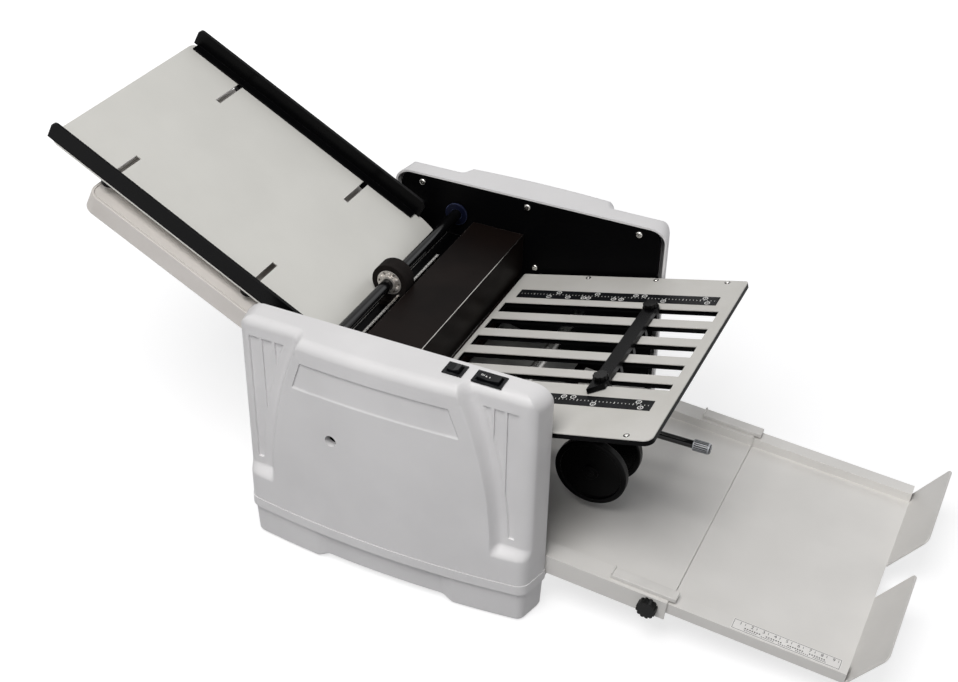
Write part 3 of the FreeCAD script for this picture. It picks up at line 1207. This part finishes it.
def upper_stop():
    """Stop bar over the upper table, with fingers through the slots and a block at each end."""
    u0 = UPPER_STOP_PLACE - UPPER_STOP_WIDTH / 2
    u1 = UPPER_STOP_PLACE + UPPER_STOP_WIDTH / 2
    low = UPPER_STOP_LIFT
    bar = box(u0, u1, UPPER_STOP_FRONT_Y, UPPER_STOP_REAR_Y, low, low + UPPER_STOP_HEIGHT)
    depth = 2 * UPPER_SHEET + UPPER_CHANNEL + UPPER_STOP_LIFT
    pieces = [bar]
    for y, width in slot_rows():
        finger = min(UPPER_STOP_FINGER, width / 2)
        pieces.append(box(u0, u1, y - finger / 2, y + finger / 2, -depth, low))
    top = low + UPPER_STOP_HEIGHT
    for y in STOP_KNOB_YS:
        pieces.append(rod_z(STOP_BOSS_RADIUS, UPPER_STOP_PLACE, y, low, top))
    solid = fuse(*pieces)
    point = Part.makePolygon([VEC(u0, UPPER_STOP_FRONT_Y, low), VEC(u1, UPPER_STOP_FRONT_Y + UPPER_STOP_POINT, low),
                              VEC(u1 + OVERRUN, UPPER_STOP_FRONT_Y - OVERRUN, low),
                              VEC(u0, UPPER_STOP_FRONT_Y - OVERRUN, low), VEC(u0, UPPER_STOP_FRONT_Y, low)])
    solid = solid.cut(Part.Face(point).extrude(VEC(0, 0, UPPER_STOP_HEIGHT)))
    for y in STOP_KNOB_YS:
        solid = solid.cut(rod_z(STOP_KNOB_STEM + RUN_GAP, UPPER_STOP_PLACE, y,
                                top - STOP_KNOB_STEM_DEPTH - BODY_GAP, top + OVERRUN))
    return sloped(solid, UPPER_TABLE_X, UPPER_TABLE_Z, -UPPER_TILT)


def stop_knob(y):
    """Fluted clamp knob on one end block of the upper stop."""
    low = UPPER_STOP_LIFT + UPPER_STOP_HEIGHT + SEAT_GAP
    knob = rod_z(STOP_KNOB_RADIUS, UPPER_STOP_PLACE, y, low, low + STOP_KNOB_HEIGHT)
    stem = rod_z(STOP_KNOB_STEM, UPPER_STOP_PLACE, y, low - SEAT_GAP - STOP_KNOB_STEM_DEPTH, low)
    knob = fuse(knob, stem)
    for index in range(STOP_KNOB_FLUTES):
        angle = 2 * math.pi * index / STOP_KNOB_FLUTES
        knob = knob.cut(rod_z(STOP_KNOB_FLUTE_RADIUS, UPPER_STOP_PLACE + STOP_KNOB_RADIUS * math.cos(angle),
                              y + STOP_KNOB_RADIUS * math.sin(angle), low - SEAT_GAP / 2,
                              low + STOP_KNOB_HEIGHT + OVERRUN))
    return sloped(knob, UPPER_TABLE_X, UPPER_TABLE_Z, -UPPER_TILT)


def inner_sheets():
    """Sheets that lead the paper through the rollers, and the sheet that closes the left end."""
    chutes = []
    for x0, z0, x1, z1 in (ENTRY_CHUTE, UPPER_LOWER_CHUTE, UNDER_LOWER_CHUTE, EXIT_CHUTE):
        ends = (ROLLER_B_X + x0, ROLLER_B_Z + z0, ROLLER_B_X + x1, ROLLER_B_Z + z1)
        chutes.append(sheet_between(ends, CHUTE_THICKNESS, CROSS_HALF_WIDTH))
    return group(chutes + [end_panel()])


def stacker_rod():
    """Adjusting rod along X with a thicker grip at its right end."""
    rod = rod_x(STACKER_ROD_RADIUS, STACKER_ROD_Y, STACKER_ROD_Z, STACKER_ROD_LEFT_X, STACKER_ROD_RIGHT_X)
    end = STACKER_ROD_RIGHT_X + STACKER_TIP_LENGTH
    tip = rod_x(STACKER_TIP_RADIUS, STACKER_ROD_Y, STACKER_ROD_Z, STACKER_ROD_RIGHT_X, end)
    tip = round_edges(tip, STACKER_TIP_ROUND, lambda p: near(p.x, end))
    return fuse(rod, tip)


def stacker_guide_block():
    """Block hung on a tie rod in which the adjusting rod slides."""
    x0 = GUIDE_BLOCK_LEFT_X
    x1 = x0 + GUIDE_BLOCK_LENGTH
    y0 = STACKER_ROD_Y - GUIDE_BLOCK_WIDTH / 2
    y1 = STACKER_ROD_Y + GUIDE_BLOCK_WIDTH / 2
    block = box(x0, x1, y0, y1, STACKER_ROD_Z - GUIDE_BLOCK_DROP, STACKER_ROD_Z + GUIDE_BLOCK_RISE)
    block = block.cut(rod_x(STACKER_ROD_RADIUS + RUN_GAP, STACKER_ROD_Y, STACKER_ROD_Z, x0 - OVERRUN, x1 + OVERRUN))
    return block.cut(rod_y(TIE_RADIUS + PRESS_GAP, TABLE_TIE_X, TABLE_TIE_Z, y0 - OVERRUN, y1 + OVERRUN))


def stacker_carriage():
    """Fork on the adjusting rod that holds the wheel axle."""
    y = STACKER_ROD_Y
    half = CARRIAGE_WIDTH / 2
    x0 = WHEEL_X - CARRIAGE_LENGTH / 2
    x1 = WHEEL_X + CARRIAGE_LENGTH / 2
    reach = STACKER_ROD_RADIUS + CARRIAGE_WALL
    head = box(x0, x1, y - half, y + half, STACKER_ROD_Z - reach, STACKER_ROD_Z + reach)
    arm = box(WHEEL_X - CARRIAGE_ARM_LENGTH / 2, WHEEL_X + CARRIAGE_ARM_LENGTH / 2,
              y - CARRIAGE_ARM_WIDTH / 2, y + CARRIAGE_ARM_WIDTH / 2, WHEEL_Z, STACKER_ROD_Z - reach)
    eye = rod_y(CARRIAGE_ARM_LENGTH / 2, WHEEL_X, WHEEL_Z, y - CARRIAGE_ARM_WIDTH / 2, y + CARRIAGE_ARM_WIDTH / 2)
    body = fuse(head, arm, eye)
    body = body.cut(rod_x(STACKER_ROD_RADIUS + PRESS_GAP, y, STACKER_ROD_Z, x0 - OVERRUN, x1 + OVERRUN))
    return body.cut(rod_y(AXLE_RADIUS + RUN_GAP, WHEEL_X, WHEEL_Z, y - half - OVERRUN, y + half + OVERRUN))


def stacker_axle():
    """Axle that turns in the fork and carries both wheels."""
    reach = WHEEL_SPREAD + WHEEL_WIDTH / 2
    return rod_y(AXLE_RADIUS, WHEEL_X, WHEEL_Z, STACKER_ROD_Y - reach, STACKER_ROD_Y + reach)


def stacker_wheels():
    """Two dished wheels on the axle."""
    wheels = []
    for side in (-1, 1):
        middle = STACKER_ROD_Y + side * WHEEL_SPREAD
        y0 = middle - WHEEL_WIDTH / 2
        y1 = middle + WHEEL_WIDTH / 2
        disc = rod_y(WHEEL_RADIUS, WHEEL_X, WHEEL_Z, y0, y1)
        disc = round_edges(disc, WHEEL_EDGE_RADIUS, lambda p: near(p.y, y0) or near(p.y, y1))
        for start, end in ((y0 - OVERRUN, y0 + WHEEL_FACE_DISH), (y1 - WHEEL_FACE_DISH, y1 + OVERRUN)):
            ring = rod_y(WHEEL_RADIUS - WHEEL_RIM_WIDTH, WHEEL_X, WHEEL_Z, start, end)
            disc = disc.cut(ring.cut(rod_y(WHEEL_HUB_RADIUS, WHEEL_X, WHEEL_Z, start, end)))
        wheels.append(disc.cut(rod_y(AXLE_RADIUS + PRESS_GAP, WHEEL_X, WHEEL_Z, y0 - OVERRUN, y1 + OVERRUN)))
    return group(wheels)


def tray_place(shape):
    """Put a shape built flat onto the delivery tray's slope."""
    return sloped(shape, TRAY_END_X, TRAY_END_Z, TRAY_TILT)


def tray_base():
    """Delivery tray: sunk floor, folded rails on both sides."""
    t = TRAY_SHEET
    half = TRAY_HALF_WIDTH
    inner = half - TRAY_RAIL_WIDTH
    floor = box(-TRAY_LENGTH, 0, -inner, inner, -TRAY_FLOOR_DROP - t, -TRAY_FLOOR_DROP)
    wall = box(-TRAY_LENGTH, 0, inner, inner + t, -TRAY_FLOOR_DROP - t, 0)
    rail = box(-TRAY_LENGTH, 0, inner, half, -t, 0)
    skirt = box(-TRAY_LENGTH, 0, half - t, half, -TRAY_WALL_HEIGHT, 0)
    side = fuse(wall, rail, skirt)
    body = fuse(floor, side, mirrored(side))
    back = TRAY_KNOB_BACK
    hole = rod_y(TRAY_KNOB_STEM + RUN_GAP, -back, -TRAY_KNOB_DROP, -half - OVERRUN, -half + t + OVERRUN / 2)
    return tray_place(body.cut(hole))


def extension_half_width():
    """Outer half width of the tray extension inside the base rails."""
    return TRAY_HALF_WIDTH - TRAY_SHEET - EXTENSION_SIDE_GAP


def tray_extension():
    """Extension that slides under the base rails and ends in two bent-up wings."""
    t = EXTENSION_SHEET
    half = extension_half_width()
    inner = TRAY_HALF_WIDTH - TRAY_RAIL_WIDTH + TRAY_SHEET + EXTENSION_SIDE_GAP
    top = -TRAY_SHEET - EXTENSION_DROP
    floor_top = -TRAY_FLOOR_DROP - TRAY_SHEET - EXTENSION_FLOOR_GAP
    floor_low = floor_top - t
    start = -EXTENSION_TONGUE
    end = EXTENSION_LENGTH
    floor = box(start, end, -inner - t, inner + t, floor_low, floor_top)
    wall = box(start, end, inner, inner + t, floor_low, top)
    rail = box(start, end, inner, half, top - t, top)
    skirt = box(start, end, half - t, half, floor_low, top)
    side = fuse(wall, rail, skirt)
    wing = box(0, WING_LENGTH, WING_HALF_GAP, half, -t, 0)
    wing = round_edges(wing, WING_CORNER, lambda p: near(p.x, WING_LENGTH) and near(p.z, -t / 2))
    wing.rotate(ORIGIN, Y_DIR, -WING_LEAN - TRAY_TILT)
    wing.translate(VEC(end, 0, floor_top))
    heel = rod_y(t, end, floor_top - t / 2, WING_HALF_GAP, half)
    side = fuse(side, wing, heel.common(box(end - OVERRUN, end + t, WING_HALF_GAP, half, floor_low, floor_top)))
    return tray_place(fuse(floor, side, mirrored(side)))


def tray_clips():
    """Light channel clips on the rails where the extension leaves the base."""
    start = -CLIP_START
    end = start + CLIP_LENGTH
    y1 = TRAY_HALF_WIDTH - (TRAY_RAIL_WIDTH - CLIP_WIDTH) / 2
    y0 = y1 - CLIP_WIDTH
    bar = box(start, end, y0, y1, SEAT_GAP / 2, CLIP_HEIGHT)
    hook = box(start, start + TRAY_SHEET, y0, y1, SEAT_GAP / 2, CLIP_HOOK)
    return tray_place(both_sides(fuse(bar, hook)))


def tray_knob():
    """Black clamp knob on the front rail of the tray."""
    x = -TRAY_KNOB_BACK
    z = -TRAY_KNOB_DROP
    y1 = -TRAY_HALF_WIDTH - SEAT_GAP
    y0 = y1 - TRAY_KNOB_LENGTH
    knob = rod_y(TRAY_KNOB_RADIUS, x, z, y0, y1)
    for index in range(TRAY_KNOB_FLUTES):
        angle = 2 * math.pi * index / TRAY_KNOB_FLUTES
        knob = knob.cut(rod_y(TRAY_KNOB_FLUTE_RADIUS, x + TRAY_KNOB_RADIUS * math.cos(angle),
                              z + TRAY_KNOB_RADIUS * math.sin(angle), y0 - OVERRUN, y1 + OVERRUN))
    stem = rod_y(TRAY_KNOB_STEM, x, z, y1, y1 + SEAT_GAP + TRAY_SHEET)
    return tray_place(fuse(knob, stem))


def switch_housing(x, length):
    """Switch body under the cover's top with a raised bezel and a well for the rocker."""
    half = length / 2
    half_y = SWITCH_WIDTH / 2
    top = HOUSING_HEIGHT + SWITCH_BEZEL_HEIGHT
    y = SWITCH_Y
    body = box(x - half, x + half, y - half_y, y + half_y, HOUSING_HEIGHT - SWITCH_DEPTH, top)
    bezel = box(x - half - SWITCH_BEZEL, x + half + SWITCH_BEZEL, y - half_y - SWITCH_BEZEL,
                y + half_y + SWITCH_BEZEL, HOUSING_HEIGHT, top)
    well = box(x - half + SWITCH_WALL, x + half - SWITCH_WALL, y - half_y + SWITCH_WALL,
               y + half_y - SWITCH_WALL, HOUSING_HEIGHT - SWITCH_CAVITY_DEPTH, top + OVERRUN)
    pin_half = half_y - SWITCH_WALL + ROCKER_PIN_REACH + RUN_GAP
    pin_hole = rod_y(ROCKER_PIN_RADIUS + RUN_GAP, x, top - ROCKER_PIVOT_DROP, y - pin_half, y + pin_half)
    return fuse(body, bezel).cut(well).cut(pin_hole)


def switch_housings():
    """Both switch bodies."""
    return group([switch_housing(POWER_SWITCH_X, POWER_SWITCH_LENGTH),
                  switch_housing(JOG_SWITCH_X, JOG_SWITCH_LENGTH)])


def rocker(x, length, rest_angle):
    """Rocker with a hollowed top, held by a pin across its well."""
    half = length / 2 - SWITCH_WALL - ROCKER_GAP
    half_y = SWITCH_WIDTH / 2 - SWITCH_WALL - ROCKER_GAP
    top = HOUSING_HEIGHT + SWITCH_BEZEL_HEIGHT
    pivot = top - ROCKER_PIVOT_DROP
    points = [(x - half, top + ROCKER_END_RISE), (x, top + ROCKER_CENTRE_RISE), (x + half, top + ROCKER_END_RISE),
              (x + half, pivot), (x, pivot - ROCKER_DEPTH / 2), (x - half, pivot)]
    pin_half = SWITCH_WIDTH / 2 - SWITCH_WALL + ROCKER_PIN_REACH
    body = fuse(prism_y(points, SWITCH_Y - half_y, SWITCH_Y + half_y),
                rod_y(ROCKER_PIN_RADIUS, x, pivot, SWITCH_Y - pin_half, SWITCH_Y + pin_half))
    body.rotate(VEC(x, SWITCH_Y, pivot), Y_DIR, rest_angle)
    return body


def power_inlet():
    """Mains inlet set in the rear cover, with an open socket."""
    x0 = INLET_X - INLET_LENGTH / 2
    x1 = INLET_X + INLET_LENGTH / 2
    z0 = INLET_Z - INLET_HEIGHT / 2
    z1 = INLET_Z + INLET_HEIGHT / 2
    body = box(x0, x1, COVER_OUT_Y - INLET_DEPTH, COVER_OUT_Y, z0, z1)
    flange = box(x0 - INLET_FLANGE, x1 + INLET_FLANGE, COVER_OUT_Y, COVER_OUT_Y + INLET_FLANGE_THICKNESS,
                 z0 - INLET_FLANGE / 2, z1 + INLET_FLANGE / 2)
    socket = box(x0 + INLET_WALL, x1 - INLET_WALL,
                 COVER_OUT_Y + INLET_FLANGE_THICKNESS - INLET_SOCKET_DEPTH, COVER_OUT_Y + OVERRUN,
                 z0 + INLET_WALL, z1 - INLET_WALL)
    return fuse(body, flange).cut(socket)


def control_board():
    """Control board on standoffs outside the front side plate, with its larger parts."""
    x0 = BOARD_X - BOARD_LENGTH / 2
    z0 = BOARD_Z - BOARD_HEIGHT / 2
    y1 = -PLATE_OUT_Y - BOARD_STANDOFF
    y0 = y1 - BOARD_THICKNESS
    pieces = [box(x0, x0 + BOARD_LENGTH, y0, y1, z0, z0 + BOARD_HEIGHT)]
    for x in (x0 + BOARD_STANDOFF_INSET, x0 + BOARD_LENGTH - BOARD_STANDOFF_INSET):
        for z in (z0 + BOARD_STANDOFF_INSET, z0 + BOARD_HEIGHT - BOARD_STANDOFF_INSET):
            pieces.append(rod_y(BOARD_STANDOFF_RADIUS, x, z, y1, -PLATE_OUT_Y))
    for index in (1, 2):
        pieces.append(rod_y(CAPACITOR_RADIUS, x0 + BOARD_LENGTH - index * 3 * CAPACITOR_RADIUS, BOARD_Z,
                            y0 - CAPACITOR_HEIGHT, y0))
    pieces.append(box(BOARD_X - RELAY_LENGTH / 2, BOARD_X + RELAY_LENGTH / 2, y0 - RELAY_DEPTH, y0,
                      BOARD_Z - RELAY_HEIGHT / 2, BOARD_Z + RELAY_HEIGHT / 2))
    return fuse(*pieces)


def build():
    """Every node of the machine by name."""
    rear_guide = paper_guide()
    nodes = {
        "base_pan": base_pan(),
        "front_side_plate": front_side_plate(),
        "rear_side_plate": side_plate(),
        "front_cover": front_cover(),
        "rear_cover": rear_cover(),
        "plinths": both_sides(plinth()),
        "rubber_feet": rubber_feet(),
        "housing_screws": housing_screws(),
        "tie_rods": tie_rods(),
        "top_cover": top_cover(),
        "feed_deck": feed_deck(),
        "front_guide": mirrored(rear_guide),
        "rear_guide": rear_guide,
        "table_brackets": table_brackets(),
        "lower_table_tray": lower_table_tray(),
        "lower_table_lid": lower_table_lid(),
        "lower_stop": lower_stop(),
        "upper_table_top": upper_table_top(),
        "upper_table_bottom": upper_table_bottom(),
        "scale_strips": scale_strips(),
        "upper_stop": upper_stop(),
        "front_stop_knob": stop_knob(STOP_KNOB_YS[0]),
        "rear_stop_knob": stop_knob(STOP_KNOB_YS[1]),
        "inner_sheets": inner_sheets(),
        "separator_plate": separator_plate(),
        "separator_pad": separator_pad(),
        "feed_shaft": feed_shaft(),
        "feed_roller_hub": feed_roller_hub(),
        "feed_roller_tyre": feed_roller_tyre(),
        "feed_bushings": feed_bushings(),
        "feed_pulley": pulley(FEED_X, FEED_Z, FEED_PULLEY_RADIUS, FEED_SHAFT_RADIUS + PRESS_GAP),
        "feed_belt": feed_belt(),
        "roller_bearings": roller_bearings(),
        "roller_a_pulley": pulley(*ROLLERS["a"], ROLLER_A_PULLEY_RADIUS, JOURNAL_RADIUS + PRESS_GAP),
        "roller_d_pulley": pulley(*ROLLERS["d"], ROLLER_D_PULLEY_RADIUS, JOURNAL_RADIUS + PRESS_GAP),
        "drive_belt": drive_belt(),
        "motor": motor(),
        "motor_pulley": motor_pulley(),
        "stacker_rod": stacker_rod(),
        "stacker_guide_block": stacker_guide_block(),
        "stacker_carriage": stacker_carriage(),
        "stacker_axle": stacker_axle(),
        "stacker_wheels": stacker_wheels(),
        "tray_base": tray_base(),
        "tray_extension": tray_extension(),
        "tray_clips": tray_clips(),
        "tray_knob": tray_knob(),
        "switch_housings": switch_housings(),
        "power_rocker": rocker(POWER_SWITCH_X, POWER_SWITCH_LENGTH, -POWER_REST_ANGLE),
        "jog_rocker": rocker(JOG_SWITCH_X, JOG_SWITCH_LENGTH, 0),
        "power_inlet": power_inlet(),
        "control_board": control_board(),
    }
    for name in ROLLERS:
        nodes["fold_roller_" + name] = fold_roller(name)
        nodes["gear_" + name] = gear(name)
    return nodes


def main():
    """Shift the origin onto the desk under the machine's middle and write one STEP file per node."""
    nodes = build()
    whole = group(list(nodes.values())).BoundBox
    middle = (whole.XMin + whole.XMax) / 2
    os.makedirs("parts", exist_ok=True)
    for name, shape in nodes.items():
        placed = shape.copy()
        placed.translate(VEC(-middle, 0, -whole.ZMin))
        placed.exportStep("parts/" + name + ".step")
    print("nodes", len(nodes), "middle", round(middle, 3))
    print("size", round(whole.XLength, 1), round(whole.YLength, 1), round(whole.ZLength, 1))


main()
